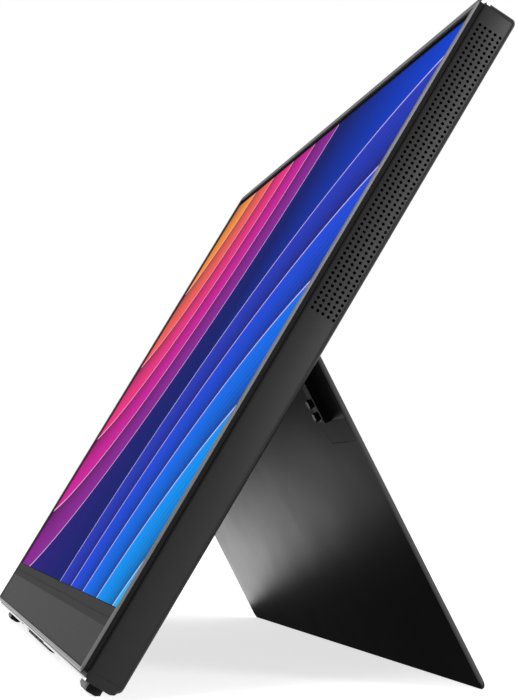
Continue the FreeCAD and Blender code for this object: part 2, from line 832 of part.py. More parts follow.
def hinge_bracket(name, side):
    """Base screwed to the chassis, with two ears that reach back to the pin."""
    base_low = D.hinge_height - D.knuckle_radius
    base_high = D.hinge_height + D.bracket_height
    x0, x1 = span(side, *hinge_ends(side))
    body = slab(name, x0, x1, base_low, base_high, CHASSIS_BACK, CHASSIS_BACK - D.bracket_thickness)
    shoulder = RECESS_INSIDE + D.knuckle_gap
    for place in ear_places(side):
        start, end = span(side, place, place + D.ear_thickness)
        ear = new_sketch(body, "YZ_Plane", start)
        points = [
            (base_low, AXIS),
            (base_low, CHASSIS_BACK),
            (D.hinge_height + D.ear_reach, CHASSIS_BACK),
            (D.hinge_height + D.ear_reach, shoulder + D.ear_shoulder),
            (D.hinge_height + D.knuckle_radius, shoulder),
            (D.hinge_height + D.knuckle_radius, AXIS),
        ]
        draw_polygon(ear, points)
        pad(body, ear, D.ear_thickness)
        eye = new_sketch(body, "YZ_Plane", start)
        draw_circle(eye, D.hinge_height, AXIS, D.knuckle_radius)
        pad(body, eye, D.ear_thickness)
    bore = new_sketch(body, "YZ_Plane", x0)
    draw_circle(bore, D.hinge_height, AXIS, D.pin_radius + D.pin_gap)
    cut(body, bore, D.hinge_width, forwards=True)
    holes = new_sketch(body, "XY_Plane", CHASSIS_BACK)
    for x, y in bracket_screw_places(side):
        draw_ring(holes, x, y, D.screw_shank_radius + D.screw_gap)
    cut(body, holes, D.bracket_thickness)
    return body


def hinge_pin(name, side):
    inner, outer = ear_places(side)
    x0, x1 = span(side, inner, outer + D.ear_thickness + D.pin_gap)
    body = new_body(name)
    shaft = new_sketch(body, "YZ_Plane", x0)
    draw_circle(shaft, D.hinge_height, AXIS, D.pin_radius)
    pad(body, shaft, x1 - x0)
    end = side * (outer + D.ear_thickness + D.pin_gap)
    head = new_sketch(body, "YZ_Plane", end)
    draw_circle(head, D.hinge_height, AXIS, D.pin_head_radius)
    pad(body, head, D.pin_head, backwards=side < 0)
    return body


def knuckle_span(side):
    inner, outer = ear_places(side)
    return span(side, inner + D.ear_thickness + D.knuckle_gap, outer - D.knuckle_gap)


def stand_plate():
    """The stand, drawn folded flat into the recess."""
    low = D.hinge_height - D.stand_length
    high = D.hinge_height - D.stand_top_gap
    body = slab("stand_plate", -D.stand_left, D.stand_right, low, high, STAND_INSIDE, BACK)
    dress(body, "Fillet", D.stand_corner, lambda e: at(e, "y", low) and e.BoundBox.ZLength > 0.5 * e.Length)
    dress(body, "Chamfer", D.stand_edge_chamfer, lambda e: at(e, "z", STAND_INSIDE) or at(e, "z", BACK))
    for side in (-1, 1):
        x0, x1 = span(side, *hinge_ends(side))
        pocket = new_sketch(body, "XY_Plane", STAND_INSIDE)
        draw_pocket(pocket, side, x0, x1, D.hinge_height - D.pocket_height, D.hinge_height + D.fit_gap)
        cut(body, pocket, D.pocket_depth)
        notch = new_sketch(body, "XY_Plane", STAND_INSIDE)
        reach = D.knuckle_radius + D.knuckle_gap
        draw_rectangle(notch, x0, x1, D.hinge_height - reach, D.hinge_height + D.fit_gap)
        cut(body, notch, D.stand_thickness)
    return body


def draw_pocket(sketch, side, x0, x1, low, high):
    """A rectangle whose lower corner towards the middle of the stand is cut at a slant."""
    r = D.pocket_corner
    if side > 0:
        points = [(x0 + r, low), (x1, low), (x1, high), (x0, high), (x0, low + r)]
    else:
        points = [(x0, low), (x1 - r, low), (x1, low + r), (x1, high), (x0, high)]
    draw_polygon(sketch, points)


def hinge_leaf(name, side):
    """Steel leaf in the stand's pocket, curled round the pin, with an upright rib along it."""
    inner, outer = hinge_ends(side)
    x0, x1 = span(side, inner + D.fit_gap, outer - D.fit_gap)
    low = D.hinge_height - D.leaf_height
    clear = D.hinge_height - D.knuckle_radius - D.knuckle_gap
    body = slab(name, x0, x1, low, clear, STAND_INSIDE, POCKET)
    k0, k1 = knuckle_span(side)
    web = new_sketch(body, "XY_Plane", STAND_INSIDE)
    draw_rectangle(web, k0, k1, clear, D.hinge_height)
    pad(body, web, D.pocket_depth, backwards=True)
    curl = new_sketch(body, "YZ_Plane", k0)
    draw_circle(curl, D.hinge_height, AXIS, D.knuckle_radius)
    pad(body, curl, k1 - k0)
    bore = new_sketch(body, "YZ_Plane", k0)
    draw_circle(bore, D.hinge_height, AXIS, D.pin_radius + D.pin_gap)
    cut(body, bore, k1 - k0, forwards=True)
    r0, r1 = span(side, inner + D.leaf_rib_inset, inner + D.leaf_rib_inset + D.leaf_rib_thickness)
    rib = new_sketch(body, "XY_Plane", STAND_INSIDE)
    draw_rectangle(rib, r0, r1, low, D.hinge_height - D.leaf_rib_start)
    pad(body, rib, D.leaf_rib_height)
    holes = new_sketch(body, "XY_Plane", STAND_INSIDE)
    for x, y in rivet_places(side):
        draw_ring(holes, x, y, D.screw_shank_radius + D.screw_gap)
    cut(body, holes, D.pocket_depth)
    return body


def rivet_places(side):
    """Two rivets beside the rib, towards the middle of the stand."""
    x = hinge_ends(side)[0] + D.rivet_inset
    low = D.hinge_height - D.leaf_height + D.rivet_head_radius * 1.5
    return [(side * x, low), (side * x, low + D.rivet_head_radius * 3)]


def hinge_cover(name, side):
    """Flush plate that closes the lower part of the stand's pocket."""
    inner, outer = hinge_ends(side)
    x0, x1 = span(side, inner + D.fit_gap, outer - D.fit_gap)
    body = new_body(name)
    plate = new_sketch(body, "XY_Plane", STAND_INSIDE)
    low = D.hinge_height - D.pocket_height + D.fit_gap
    draw_pocket(plate, side, x0, x1, low, D.hinge_height - D.leaf_height - D.fit_gap)
    pad(body, plate, D.pocket_depth, backwards=True)
    return body


def rod(x, y, front, radius, length):
    """A small round piece that runs back from the level front."""
    piece = doc.addObject("Part::Prism", "Rod")
    piece.Polygon = RING_SIDES
    for prop, amount in (("Circumradius", radius), ("Height", length)):
        setattr(piece, prop, amount.value)
        piece.setExpression(prop, amount.text)
    x, y, base = size(x), size(y), front - length
    turn = FreeCAD.Rotation(FreeCAD.Vector(0, 0, 1), 180 / RING_SIDES)
    piece.Placement = FreeCAD.Placement(FreeCAD.Vector(x.value, y.value, base.value), turn)
    for axis, amount in (("x", x), ("y", y), ("z", base)):
        piece.setExpression(f"Placement.Base.{axis}", amount.text)
    return piece


def fasteners(label, places, head_front, head_radius, head, shank_front, shank):
    """A set of identical fasteners: each has a round head and a shank through the same middle."""
    group = doc.addObject("Part::MultiFuse", label)
    group.Label = label
    pieces = []
    for x, y in places:
        pieces.append(rod(x, y, head_front, head_radius, head))
        pieces.append(rod(x, y, shank_front, D.screw_shank_radius, shank))
    group.Shapes = pieces
    doc.recompute()
    return group


def fastener_groups():
    both = (-1, 1)
    brackets = [place for side in both for place in bracket_screw_places(side)]
    rivets = [place for side in both for place in rivet_places(side)]
    base = CHASSIS_BACK - D.bracket_thickness
    top = CHASSIS_BACK + D.screw_head
    fixed = [
        fasteners("bracket_screws", brackets, base, D.screw_head_radius, D.screw_head, CHASSIS_FRONT,
                  D.chassis_thickness + D.bracket_thickness + D.screw_head),
        fasteners("chassis_screws", boss_places(), top, D.screw_head_radius, D.screw_head, top,
                  D.screw_head + D.screw_shank - D.seam),
    ]
    moving = fasteners("leaf_rivets", rivets, STAND_INSIDE + D.rivet_head, D.rivet_head_radius, D.rivet_head,
                       STAND_INSIDE + D.rivet_head, D.rivet_head + D.pocket_depth)
    return fixed, moving


def standing_pose():
    """Placements of the leaning panel and of the stand, opened until its lower edge meets the table."""
    lean = math.radians(D.tilt.value)
    rest_depth = D.foot_rear.value - D.foot_rest.value * math.sin(lean)
    drop = D.foot_height.value * math.sin(lean) + rest_depth * math.cos(lean)
    axis_height = D.hinge_height.value * math.sin(lean) + AXIS.value * math.cos(lean)
    along = D.stand_length.value
    behind = D.axis_depth.value - D.stand_thickness.value + D.stand_edge_chamfer.value
    reach = math.hypot(along, behind)
    turn = math.pi - math.asin((axis_height + drop) / reach) - math.atan2(behind, along)
    opening = turn - lean
    chamfer = D.lip_chamfer.value
    rounding = D.rear_round.value
    nearest = chamfer * math.cos(lean)
    farthest = (D.height.value - rounding) * math.cos(lean)
    farthest += (D.depth.value - rounding) * math.sin(lean) + rounding
    middle = (nearest + farthest) / 2
    across = FreeCAD.Vector(1, 0, 0)
    panel = FreeCAD.Placement(FreeCAD.Vector(0, -middle, drop), FreeCAD.Rotation(across, D.tilt.value))
    pivot = FreeCAD.Vector(0, D.hinge_height.value, AXIS.value)
    swing = FreeCAD.Placement(FreeCAD.Vector(), FreeCAD.Rotation(across, math.degrees(opening)), pivot)
    print(f"stand opened by {math.degrees(opening):.4f} degrees")
    print("hinge axis at", panel.multVec(pivot))
    return panel, panel.multiply(swing)


def build():
    sides = (("left", -1), ("right", 1))
    fixed_screws, rivets = fastener_groups()
    fixed = [front_frame(), *screen_pieces(), chassis_plate(), rear_cover(), side_grille(), *sockets()]
    fixed += [main_board(), speaker(), key_bezel(), key_board(), *fixed_screws]
    fixed += [key(number, centre) for number, centre in enumerate(key_centres(), 1)]
    for word, side in sides:
        fixed.append(foot(f"foot_{word}", side))
        fixed.append(hinge_bracket(f"hinge_bracket_{word}", side))
        fixed.append(hinge_pin(f"hinge_pin_{word}", side))
    moving = [stand_plate(), rivets]
    for word, side in sides:
        moving.append(hinge_leaf(f"hinge_leaf_{word}", side))
        moving.append(hinge_cover(f"hinge_cover_{word}", side))
    panel, stand = standing_pose()
    for piece in fixed:
        piece.Placement = panel
    for piece in moving:
        piece.Placement = stand
    doc.recompute()
    return fixed + moving


def check(pieces):
    for item in doc.Objects:
        if "Invalid" in item.State or "Error" in item.State:
            raise RuntimeError(f"{item.Label} failed: {item.State}")
    for piece in pieces:
        if piece.Shape.isNull() or not piece.Shape.isValid():
            raise RuntimeError(f"{piece.Label} has no valid shape")


def export(pieces):
    os.makedirs("parts", exist_ok=True)
    for piece in pieces:
        piece.Shape.exportStep(f"parts/{piece.Label}.step")
        print(piece.Label, len(piece.Shape.Solids), "solids", round(piece.Shape.Volume, 1), "cubic mm")


parts = build()
check(parts)
export(parts)
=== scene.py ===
import json
import math

import bmesh
import bpy
from mathutils import Matrix, Vector


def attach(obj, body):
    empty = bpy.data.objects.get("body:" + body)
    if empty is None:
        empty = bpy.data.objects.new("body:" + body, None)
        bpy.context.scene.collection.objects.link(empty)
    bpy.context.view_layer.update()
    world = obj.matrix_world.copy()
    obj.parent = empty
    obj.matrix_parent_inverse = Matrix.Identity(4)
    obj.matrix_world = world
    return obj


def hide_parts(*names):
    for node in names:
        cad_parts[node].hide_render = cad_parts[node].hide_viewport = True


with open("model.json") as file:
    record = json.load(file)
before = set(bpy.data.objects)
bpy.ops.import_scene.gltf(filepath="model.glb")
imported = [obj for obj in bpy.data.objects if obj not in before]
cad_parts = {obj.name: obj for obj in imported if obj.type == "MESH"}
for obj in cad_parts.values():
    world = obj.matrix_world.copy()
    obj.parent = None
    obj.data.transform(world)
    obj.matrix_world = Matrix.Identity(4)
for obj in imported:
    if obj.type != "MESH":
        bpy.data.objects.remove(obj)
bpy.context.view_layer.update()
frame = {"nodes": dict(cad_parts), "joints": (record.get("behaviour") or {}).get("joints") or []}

MM = 0.001

# The panel's own frame, read from the joints: the keys travel up the panel, and the stand turns about the
# hinge axis. LOWER_FRONT is the middle of the panel's lower front edge, where its three distances are zero
HINGE_HEIGHT = 99.7 * MM
HINGE_DEPTH = 10.0 * MM
STAND_OPENING = math.radians(58.3132)
joints = {joint["name"]: joint for joint in frame["joints"]}
ACROSS = Vector((1, 0, 0))
UP = Vector(joints["key_1_press"]["axis"]).normalized()
OUT = ACROSS.cross(UP)
HINGE = Vector(joints["stand_hinge"]["pos_m"])
LOWER_FRONT = HINGE - UP * HINGE_HEIGHT + OUT * HINGE_DEPTH
STAND_INWARD = Matrix.Rotation(STAND_OPENING, 3, "X") @ OUT
PANEL = Matrix.Translation(LOWER_FRONT) @ Matrix((ACROSS, UP, OUT)).transposed().to_4x4()

# Outside of the panel, its wall and how far the side walls look crowned
WIDTH = 325 * MM
HEIGHT = 205 * MM
DEPTH = 12 * MM
WALL = 1.4 * MM
WALL_CROWN = 0.50 * MM

# Lit area of the screen, and where the chin's darker band starts
ACTIVE_WIDTH = 317.5 * MM
ACTIVE_HEIGHT = 181.6 * MM
ACTIVE_BOTTOM = 18.2 * MM
CHIN_BAND = 12.7 * MM

# Front frame: depth of the polished edge, its width at the sides and along the bottom, and the reach of the
# painted glints on the upper corners
RIM_CUT = 0.46 * MM
RIM_EDGE = 0.61 * MM
RIM_BOTTOM = 1.31 * MM
CORNER_GLINT = 1.35 * MM

# Painted shade at the shell's front: how deep it starts and how far it takes to reach its darkest
WALL_SHADE = 3.4 * MM
WALL_SHADE_REACH = 2.4 * MM

# Stand: its two ends, their cut, and how far its inner face is behind the hinge axis, with some spare
STAND_RIGHT = 157.0 * MM
STAND_LEFT = -135.0 * MM
STAND_CHAMFER = 0.42 * MM
STAND_FACE = 0.80 * MM

# Feet: depth of the front face that has painted light on it
FOOT_FRONT = 6.1 * MM

# Speaker grille: its grid of round holes, the place of its top row and of its middle column, and how far the
# strip's border is from the middles of the outer holes; then the sides of a hole's outline, and the distances
# under which two places count as one and two points are joined
GRILLE_ROWS = 60
GRILLE_COLUMNS = 5
GRILLE_PITCH = 1.51 * MM
GRILLE_COLUMN_PITCH = 1.63 * MM
GRILLE_HOLE = 0.9 * MM
GRILLE_TOP = 197.9 * MM
GRILLE_DEPTH = 6.83 * MM
GRILLE_MARGIN = 0.65 * MM
HOLE_SIDES = 20
SAME_PLACE = 1e-9
WELD = 1e-7

# Lower edge of the shell in millimetres: how low its sides and its rail reach, where its front, the rail's
# root and the rail's back are, its front bevel, and the run and height of its soft rear
SKID = 1.1
SKID_RAIL = 0.8
SKID_FRONT = -1.95
SKID_ROOT = 0.3
SKID_RAIL_BACK = -4.6
SKID_BEVEL = 0.4
SKID_REAR_RUN = 1.6
SKID_REAR_RISE = 0.5
# margin of the painted highlight on the front bevel
SKID_GLINT_SPARE = 0.01

# Sections of one side of that edge, from the keys out to the wall: place across, top and back
SKID_END = [
    (46.0, 0.3, -11.2), (160.5, 0.3, -11.2), (161.5, 0.5, -11.2), (162.2, 1.2, -11.1), (162.45, 1.8, -10.9),
]

# Camera, fitted to the photograph and given in the panel's frame; the focus is in pixels of the frame
FRAME_HEIGHT = 700
CAMERA_PLACE = Vector((605.04, 12.11, 62.65)) * MM
CAMERA_VIEW = Vector((-0.97564, 0.17553, -0.13158))
CAMERA_RIGHT = Vector((0.2039, 0.50438, -0.83906))
CAMERA_FOCUS = 1782.7
CAMERA_NEAR = 0.01
SENSOR = 36.0

# Table top: half its side, its white, its roughness, and how much of the white is its own where it is looked
# at; the rest is light that falls on it
TABLE_HALF = 6.0
TABLE_WHITE = 0.80
TABLE_ROUGH = 0.9
TABLE_GLOW = 0.72

# Strength of the light from all around; the background itself is white, at a strength of 1
AIR_LIGHT = 0.45

# The low lamp lies flat on the table beside the stand, faces up and lights these nodes alone
LOW_LAMP = Vector((-0.307, 0.0112, 0.002))
LOW_LAMP_ROLL = math.radians(-11)
STAND_NODES = [
    "stand_plate", "hinge_leaf_left", "hinge_leaf_right", "hinge_cover_left", "hinge_cover_right",
    "leaf_rivets",
]

# Greys of the finishes that change over a piece
SHELL_GREY = 0.007
# painted shade: near black at the shell's front edge
SHELL_FRONT_SHADE_GREY = 0.001
# painted glint: near white on the upper corners of the shell and the frame
CORNER_GLINT_GREY = 0.9
FRAME_GREY = 0.085
FRAME_EDGE_GREY = 0.11
# painted shade: near black in the groove behind the frame's rim
PAINTED_GROOVE_SHADE = 0.004
CHIN_GREY = 0.021
CHIN_STRIP_GREY = 0.034
# painted shade: near black for the stand's shaded inside; its outside grey is its own colour
STAND_INSIDE_SHADE_GREY = 0.0012
STAND_OUTSIDE_GREY = 0.026
# painted sheen: lighter grey on the stand's two cut ends
STAND_END_SHEEN_GREY = 0.06
FOOT_GREY = 0.011
# painted light: pale grey on the feet's front faces
FOOT_FRONT_LIGHT_GREY = 0.28
# painted highlight: near white on the bevel along the shell's lower front edge
SKID_BEVEL_GLINT_GREY = 0.85
BOARD_GREEN = (0.010, 0.075, 0.035, 1)

# How metallic the polished and the cut edges are, and how much smoother or rougher some areas are than the
# rest of their piece
EDGE_METAL = 0.9
CUT_METAL = 0.6
EDGE_SMOOTHER = 0.14
GROOVE_ROUGHER = 0.15
BAND_ROUGHER = 0.2

# Moulded grain: size of its clouds, how much they and the fine grain change the colour and the roughness
CLOUD_SIZE = 18 * MM
CLOUD_DARK = 0.93
CLOUD_LIGHT = 1.07
GRAIN_SHARE = 0.25
GRAIN_LIGHT = 1.25
CLOUD_ROUGH = 0.08
GRAIN_ROUGH = 0.04
GRAIN_RELIEF = 0.10

# Brushed lines: width, length as a multiple of it, depth, and how much they change colour and roughness
LINE = 0.09 * MM
LINE_STRETCH = 160
LINE_DEPTH = 0.01 * MM
LINE_DARK = 0.78
LINE_LIGHT = 1.28
LINE_ROUGH = 0.16
LINE_RELIEF = 0.3

# Screen: its black, its gloss, and the grain and roughness of its matt face
INK = (0.0015, 0.0015, 0.0018, 1)
SCREEN_GLOSS = 0.0007
SCREEN_GRAIN = 0.08 * MM
SCREEN_ROUGH = 0.42
SCREEN_HAZE = 0.10

# Discs of the picture on the screen; places and reaches are shares of the lit width from its lower middle
DISC_LAYERS = 6.0
WARM_CENTRE = (-0.60, 0.62)
WARM_REACH = 0.66
WARM_HUES = [
    (0.00, (1.00, 0.66, 0.62, 1)), (0.25, (1.00, 0.30, 0.04, 1)), (0.48, (0.95, 0.06, 0.12, 1)),
    (0.68, (0.84, 0.01, 0.33, 1)), (0.86, (0.40, 0.01, 0.36, 1)), (1.00, (0.13, 0.02, 0.26, 1)),
]
COOL_CENTRE = (0.66, -0.08)
COOL_REACH = 0.64
COOL_HUES = [
    (0.00, (0.05, 0.70, 1.00, 1)), (0.30, (0.00, 0.42, 1.00, 1)), (0.55, (0.00, 0.18, 0.92, 1)),
    (0.78, (0.01, 0.06, 0.72, 1)), (1.00, (0.02, 0.03, 0.40, 1)),
]
NIGHT_HUES = [(0.0, (0.02, 0.005, 0.20, 1)), (0.6, (0.0, 0.008, 0.14, 1)), (1.0, (0.0, 0.05, 0.62, 1))]

# Paper of the discs: how much of its hue steps from disc to disc, its fine grooves, the shadow that the disc
# on top of it casts, and its pale rim
HUE_STEP = 0.8
GROOVE_TURNS = 44.0
GROOVE_SHADE = 0.06
SHADOW_LEAST = 0.18
SHADOW_FALL = 0.50
SHADOW_HUE = (0.004, 0.002, 0.03, 1)
PAPER_RIM = 0.965
PAPER_RIM_SHARE = 0.55
PAPER_RIM_HUE = (1.0, 0.80, 0.95, 1)


class Value:
    """A shader socket for Python expressions: each operation on it adds one Math node."""

    def __init__(self, finish, socket):
        self.finish = finish
        self.socket = socket

    def math(self, operation, *values):
        return self.finish.maths(operation, self, *values)

    def __add__(self, other):
        return self.math("ADD", other)

    def __sub__(self, other):
        return self.math("SUBTRACT", other)

    def __mul__(self, other):
        return self.math("MULTIPLY", other)

    def __truediv__(self, other):
        return self.math("DIVIDE", other)

    def __radd__(self, other):
        return self.finish.maths("ADD", other, self)

    def __rsub__(self, other):
        return self.finish.maths("SUBTRACT", other, self)

    def __rmul__(self, other):
        return self.finish.maths("MULTIPLY", other, self)

    def over(self, level):
        return self.math("GREATER_THAN", level)

    def under(self, level):
        return self.math("LESS_THAN", level)


class Nodes:
    """A node tree that is filled in by expressions."""

    def node(self, kind, settings=None, sockets=None, output=0):
        made = self.tree.nodes.new(kind)
        for key, value in (settings or {}).items():
            if key == "stops":
                set_stops(made.color_ramp, value)
            else:
                setattr(made, key, value)
        for key, value in (sockets or {}).items():
            self.feed(made.inputs[key], value)
        return Value(self, made.outputs[output])

    def feed(self, socket, value):
        if isinstance(value, Value):
            self.tree.links.new(value.socket, socket)
        else:
            socket.default_value = value

    def maths(self, operation, *values):
        return self.node("ShaderNodeMath", {"operation": operation}, dict(enumerate(values)))


class Surround(Nodes):
    """The air around the object: a world with one background."""

    def __init__(self, name):
        self.world = bpy.data.worlds.new(name)
        self.world.use_nodes = True
        self.tree = self.world.node_tree
        self.backdrop = self.tree.nodes["Background"]


class Finish(Nodes):
    """A material and its node tree, with a Principled shader ready to be filled in."""

    def __init__(self, name):
        self.material = bpy.data.materials.new(name)
        self.material.use_nodes = True
        self.tree = self.material.node_tree
        self.shader = self.tree.nodes["Principled BSDF"]

    def mix(self, factor, low, high):
        """Mixes two colours."""
        return self.node("ShaderNodeMix", {"data_type": "RGBA"}, {0: factor, 6: low, 7: high}, output=2)

    def ramp(self, value, stops):
        return self.node("ShaderNodeValToRGB", {"stops": stops}, {"Fac": value})

    def place(self):
        return self.node("ShaderNodeTexCoord", output="Object")

    def along(self, direction, start):
        """Distance of a surface point from start along a direction of the row's frame."""
        sockets = {0: self.place(), 1: direction}
        dot = self.node("ShaderNodeVectorMath", {"operation": "DOT_PRODUCT"}, sockets, output="Value")
        return dot - direction.dot(start)

    def across(self):
        """Distance of a surface point to the right of the panel's middle."""
        return self.along(ACROSS, LOWER_FRONT)

    def high(self):
        """Distance of a surface point up the panel from its lower edge."""
        return self.along(UP, LOWER_FRONT)

    def depth(self):
        """Distance of a surface point out of the panel's front: behind the front it is negative."""
        return self.along(OUT, LOWER_FRONT)

    def vector(self, x, y, z):
        return self.node("ShaderNodeCombineXYZ", None, {0: x, 1: y, 2: z})

    def noise(self, vector, scale, detail, roughness=0.5):
        sockets = {"Vector": vector, "Scale": scale, "Detail": detail, "Roughness": roughness}
        return self.node("ShaderNodeTexNoise", None, sockets)

    def bump(self, height, strength, distance):
        """Adds relief over any relief that the shader has already."""
        sockets = {"Height": height, "Strength": strength, "Distance": distance}
        for joined in self.shader.inputs["Normal"].links:
            sockets["Normal"] = Value(self, joined.from_socket)
        self.set(Normal=self.node("ShaderNodeBump", None, sockets))

    def so_far(self, socket):
        """What feeds one of the shader's sockets at this point."""
        return Value(self, self.shader.inputs[socket].links[0].from_socket)

    def set(self, **sockets):
        """Feeds the Principled shader: Base_Color fills Base Color and so on."""
        for key, value in sockets.items():
            self.feed(self.shader.inputs[key.replace("_", " ")], value)


def set_stops(ramp, stops):
    while len(ramp.elements) < len(stops):
        ramp.elements.new(1.0)
    for element, (position, colour) in zip(ramp.elements, stops):
        element.position = position
        element.color = colour


def grey(level):
    return (level, level, level, 1.0)


def tone(colour, share):
    """The same colour, lighter or darker."""
    return (*(part * share for part in colour[:3]), 1.0)


def moulded(name, colour, roughness, gloss=0.5, grain=0.12 * MM, depth=0.02 * MM):
    """Moulded or painted surface with a fine grain and a slight cloudiness."""
    finish = Finish(name)
    place = finish.place()
    cloud = finish.noise(place, 1 / CLOUD_SIZE, detail=3.0)
    fine = finish.noise(place, 1 / grain, detail=2.0)
    clouded = finish.mix(cloud, tone(colour, CLOUD_DARK), tone(colour, CLOUD_LIGHT))
    finish.set(Base_Color=finish.mix(fine * GRAIN_SHARE, clouded, tone(colour, GRAIN_LIGHT)))
    finish.set(Roughness=roughness - CLOUD_ROUGH / 2 + CLOUD_ROUGH * cloud + GRAIN_ROUGH * fine)
    finish.set(Specular_IOR_Level=gloss)
    finish.bump(fine, GRAIN_RELIEF, depth)
    return finish


def brushed(name, level, roughness, gloss=0.5, metallic=1.0):
    """Brushed surface with fine lines across the panel."""
    finish = Finish(name)
    other = ACROSS.orthogonal().normalized()
    third = ACROSS.cross(other)
    start = Vector((0, 0, 0))
    stretched = finish.vector(
        finish.along(ACROSS, start) / (LINE * LINE_STRETCH),
        finish.along(other, start) / LINE,
        finish.along(third, start) / LINE,
    )
    lines = finish.noise(stretched, 1.0, detail=3.0, roughness=0.65)
    finish.set(Base_Color=finish.mix(lines, grey(level * LINE_DARK), grey(level * LINE_LIGHT)))
    finish.set(Roughness=roughness - LINE_ROUGH / 2 + LINE_ROUGH * lines)
    finish.set(Metallic=metallic, Specular_IOR_Level=gloss)
    finish.bump(lines, LINE_RELIEF, LINE_DEPTH)
    return finish


def discs(finish, right, high, centre, reach, hues):
    """Discs of coloured paper laid one on another round a centre, each with a soft shadow and a pale rim."""
    x = right - centre[0]
    y = high - centre[1]
    ring = (x * x + y * y).math("SQRT") / reach
    level = ring * DISC_LAYERS
    within = level.math("FRACT")
    step = (level.math("FLOOR") + 0.5) / DISC_LAYERS
    hue = finish.ramp(step * HUE_STEP + ring * (1 - HUE_STEP), hues)
    groove = (within * GROOVE_TURNS).math("SINE") * GROOVE_SHADE
    lit = SHADOW_LEAST + (1 - SHADOW_LEAST) * within.math("POWER", SHADOW_FALL)
    paper = finish.mix((lit + groove).math("MINIMUM", 1.0), SHADOW_HUE, hue)
    rim = within.over(PAPER_RIM) * PAPER_RIM_SHARE
    return finish.mix(rim, paper, PAPER_RIM_HUE), ring.under(1.0)


def picture():
    """The lit screen, a plain design: warm discs from the upper left, cool ones from the lower right."""
    finish = Finish("screen_picture")
    right = finish.across() / ACTIVE_WIDTH
    high = (finish.high() - ACTIVE_BOTTOM) / ACTIVE_WIDTH
    shape = ACTIVE_HEIGHT / ACTIVE_WIDTH
    warm, warm_cover = discs(finish, right, high, WARM_CENTRE, WARM_REACH, WARM_HUES)
    cool, cool_cover = discs(finish, right, high, COOL_CENTRE, COOL_REACH, COOL_HUES)
    night = finish.ramp(right + 0.5, NIGHT_HUES)
    lit = finish.mix(cool_cover, finish.mix(warm_cover, night, warm), cool)
    inside = right.math("ABSOLUTE").under(0.5) * high.over(0.0) * high.under(shape)
    haze = finish.noise(finish.place(), 1 / SCREEN_GRAIN, detail=1.0)
    finish.set(Base_Color=INK, Specular_IOR_Level=SCREEN_GLOSS)
    finish.set(Roughness=SCREEN_ROUGH + SCREEN_HAZE * haze)
    finish.set(Emission_Color=finish.mix(inside, INK, lit), Emission_Strength=1.0)
    return finish


def from_edges(finish):
    """Distances of a point from the nearer side and from the nearer end of the panel."""
    side = WIDTH / 2 - finish.across().math("ABSOLUTE")
    end = HEIGHT / 2 - (finish.high() - HEIGHT / 2).math("ABSOLUTE")
    return side, end


def crowned_shell(name):
    """The rear shell: satin grey with painted shade darkening its front, crowned walls and painted glints on
    its upper corners.
    """
    finish = moulded(name, grey(SHELL_GREY), roughness=0.40, gloss=0.16)
    depth = finish.depth()
    # painted shade: darker towards the front edge
    front = ((depth + WALL_SHADE) / WALL_SHADE_REACH).math("MINIMUM", 1.0).math("MAXIMUM", 0.0)
    side, end = from_edges(finish)
    upper = finish.high().over(HEIGHT / 2)
    # painted glint: the upper corners turn near white and metallic
    corner = (side + end).under(CORNER_GLINT) * depth.over(-WALL_SHADE) * upper
    shaded = finish.mix(front, finish.so_far("Base Color"), grey(SHELL_FRONT_SHADE_GREY))
    finish.set(Base_Color=finish.mix(corner, shaded, grey(CORNER_GLINT_GREY)), Metallic=corner)
    across_wall = depth / (DEPTH / 2) + 1
    finish.bump(across_wall * across_wall, strength=1.0, distance=-WALL_CROWN)
    return finish


def frame_rim():
    """The front frame: satin grey rim, bright polished edge and painted shade, near black, in the groove
    where it meets the shell.
    """
    finish = moulded("frame_satin_grey", grey(FRAME_GREY), roughness=0.45, gloss=0.10)
    depth = finish.depth()
    high = finish.high()
    side, end = from_edges(finish)
    outer = side.math("MINIMUM", end).under(RIM_EDGE)
    edge = outer.math("MAXIMUM", high.under(RIM_BOTTOM)) * depth.over(-RIM_CUT)
    # painted glint: the upper corners turn near white
    corner = (side + end).under(CORNER_GLINT) * high.over(HEIGHT / 2)
    # painted shade: behind the rim's cut, in the groove, the frame is near black
    groove = depth.under(-RIM_CUT)
    polished = finish.mix(edge, finish.so_far("Base Color"), grey(FRAME_EDGE_GREY))
    glinting = finish.mix(corner, polished, grey(CORNER_GLINT_GREY))
    finish.set(Base_Color=finish.mix(groove, glinting, grey(PAINTED_GROOVE_SHADE)), Metallic=edge * EDGE_METAL)
    finish.set(Roughness=finish.so_far("Roughness") - EDGE_SMOOTHER * edge + GROOVE_ROUGHER * groove)
    return finish


def chin():
    """The plate below the screen: dark and finely brushed, with a plain band along its upper edge."""
    finish = brushed("chin_brushed_dark", CHIN_GREY, roughness=0.50, gloss=0.03, metallic=0.0)
    band = finish.high().over(CHIN_BAND)
    finish.set(Base_Color=finish.mix(band, finish.so_far("Base Color"), grey(CHIN_STRIP_GREY)))
    finish.set(Roughness=finish.so_far("Roughness") + BAND_ROUGHER * band)
    return finish


def stand():
    """The stand: blasted and dark grey, with painted shade making its inside near black and painted sheen
    lightening its two cut ends.
    """
    # painted shade: the base grey is the near black of the shaded inside face
    finish = moulded("stand_blasted_painted_shade", grey(STAND_INSIDE_SHADE_GREY), roughness=0.42, gloss=0.0009, grain=0.16 * MM)
    across = finish.across()
    # painted sheen: the two cut ends are lighter than the plate
    ends = across.over(STAND_RIGHT - STAND_CHAMFER) + across.under(STAND_LEFT + STAND_CHAMFER)
    outside = finish.along(STAND_INWARD, HINGE).under(-STAND_FACE)
    face = finish.mix(outside, finish.so_far("Base Color"), grey(STAND_OUTSIDE_GREY))
    finish.set(Base_Color=finish.mix(ends, face, grey(STAND_END_SHEEN_GREY)))
    return finish


